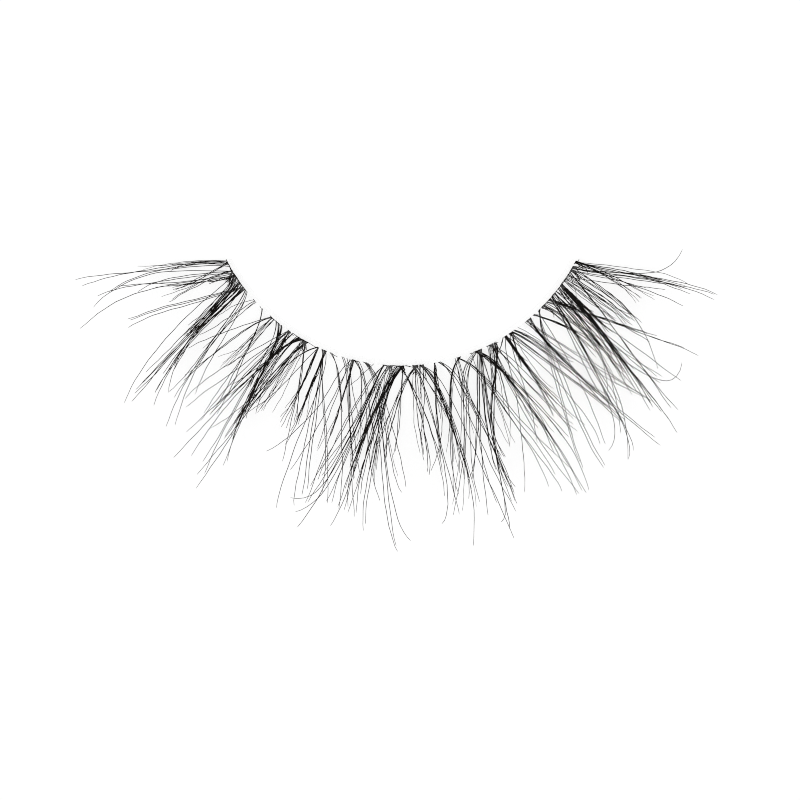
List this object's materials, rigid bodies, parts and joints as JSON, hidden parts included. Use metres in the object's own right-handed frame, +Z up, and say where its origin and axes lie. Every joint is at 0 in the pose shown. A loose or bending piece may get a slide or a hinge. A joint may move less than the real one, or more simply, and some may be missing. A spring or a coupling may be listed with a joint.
{
  "type": "false eyelash strip",
  "caption": "Wispy strip of false eyelashes: a clear flexible arc-shaped band carrying tied clusters of curled black fibre that cross in fans and gather into spikes.",
  "frame": {"origin": "on the surface the strip lies on, under the centre of its bounding box", "axes": "+X along the strip to the right of the picture, +Y from the fibre tips towards the open side of the band's arc, +Z up off the surface, the way the fibres curl"},
  "size_m": [0.049, 0.0222, 0.0073],
  "materials": {
    "clear_polymer": "clear, softly glossy",
    "black_fibre": "satin drawn synthetic fibre"
  },
  "bodies": {
    "root": {"band": "clear_polymer", "lash_cluster_01": "black_fibre", "lash_cluster_02": "black_fibre", "lash_cluster_03": "black_fibre", "lash_cluster_04": "black_fibre", "lash_cluster_05": "black_fibre", "lash_cluster_06": "black_fibre", "lash_cluster_07": "black_fibre", "lash_cluster_08": "black_fibre", "lash_cluster_09": "black_fibre", "lash_cluster_10": "black_fibre", "lash_cluster_11": "black_fibre", "lash_cluster_12": "black_fibre", "lash_cluster_13": "black_fibre", "lash_cluster_14": "black_fibre", "lash_cluster_15": "black_fibre", "lash_cluster_16": "black_fibre", "lash_cluster_17": "black_fibre", "lash_cluster_18": "black_fibre", "lash_cluster_19": "black_fibre", "lash_cluster_20": "black_fibre", "lash_cluster_21": "black_fibre", "lash_cluster_22": "black_fibre", "lash_cluster_23": "black_fibre", "lash_cluster_24": "black_fibre", "lash_cluster_25": "black_fibre", "lash_cluster_26": "black_fibre", "lash_cluster_27": "black_fibre", "lash_cluster_28": "black_fibre", "lash_cluster_29": "black_fibre", "lash_cluster_30": "black_fibre", "lash_cluster_31": "black_fibre", "lash_cluster_32": "black_fibre", "lash_cluster_33": "black_fibre"}
  },
  "joints": []
}
